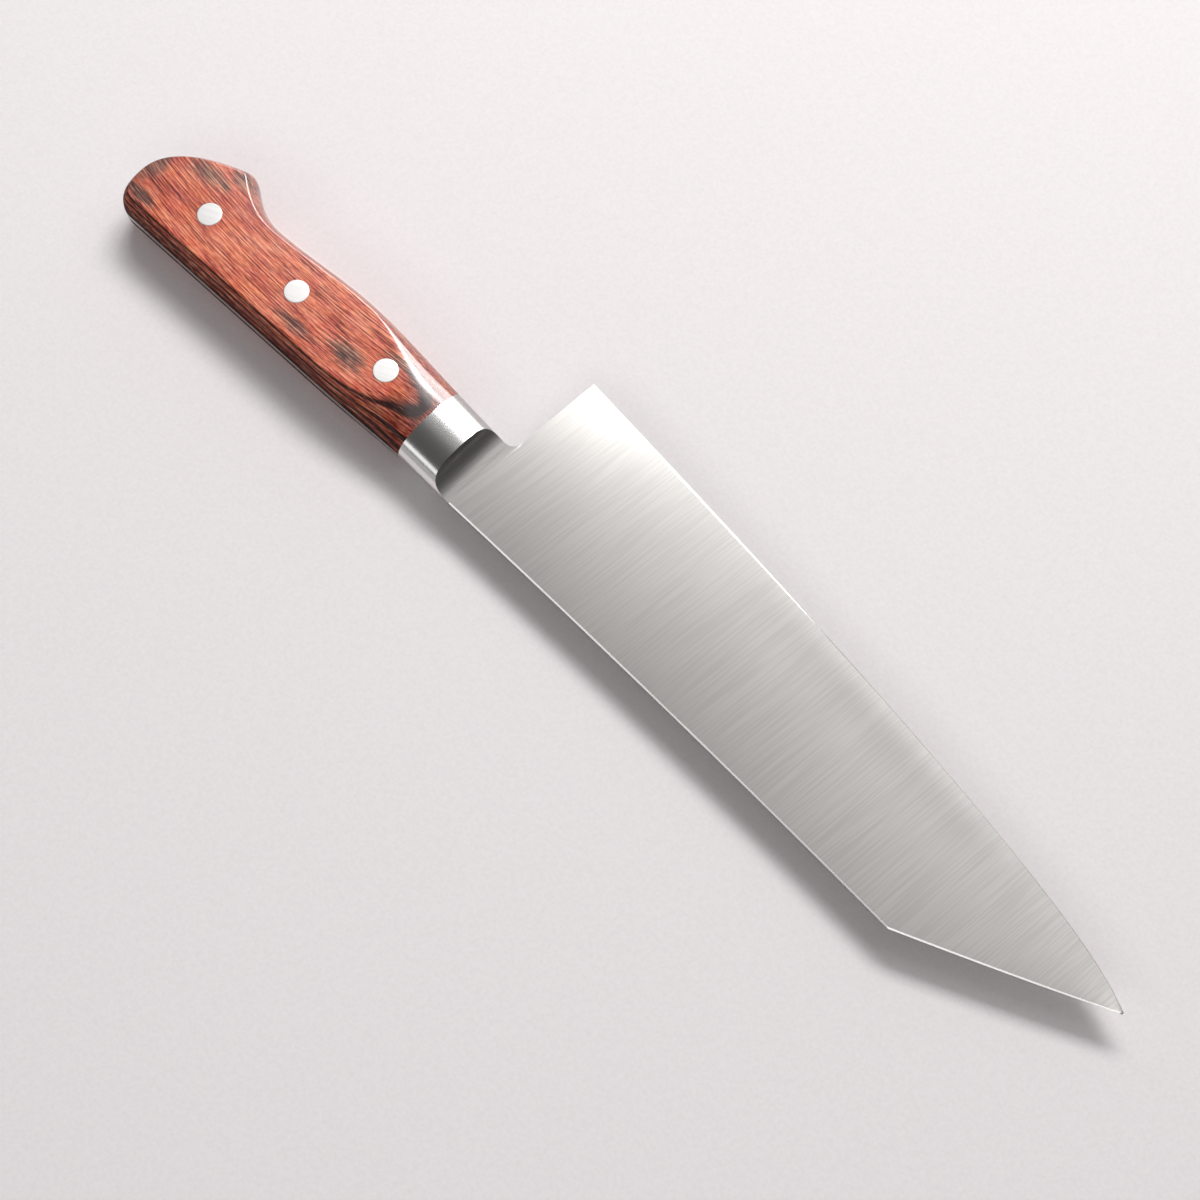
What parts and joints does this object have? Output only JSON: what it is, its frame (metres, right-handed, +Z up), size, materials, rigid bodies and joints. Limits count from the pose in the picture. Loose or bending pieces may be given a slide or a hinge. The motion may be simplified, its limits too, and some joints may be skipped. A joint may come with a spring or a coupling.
{
  "type": "kitchen knife",
  "caption": "Kitchen knife with a deep blade cut off at an angle to a sharp tip, a polished bolster, riveted red laminated scales on a full tang and a hooked butt.",
  "frame": {"origin": "on the surface the knife lies on, under the middle of its length and breadth", "axes": "+X from the butt to the tip along the rivet line, +Y from the spine to the cutting edge, +Z up, out of the left side of the blade"},
  "size_m": [0.3442, 0.0574, 0.0176],
  "materials": {
    "blade_steel": "satin, fine lines running from spine to edge",
    "bolster_steel": "polished",
    "scale_wood": "glossy lacquered laminate of red and dark brown plies",
    "rivet_steel": "satin, ground flush"
  },
  "bodies": {
    "root": {"blade": "blade_steel", "bolster_left": "bolster_steel", "bolster_right": "bolster_steel", "scale_left": "scale_wood", "scale_right": "scale_wood", "rivet_front_barrel": "rivet_steel", "rivet_front_stem": "rivet_steel", "rivet_middle_barrel": "rivet_steel", "rivet_middle_stem": "rivet_steel", "rivet_rear_barrel": "rivet_steel", "rivet_rear_stem": "rivet_steel"}
  },
  "joints": []
}
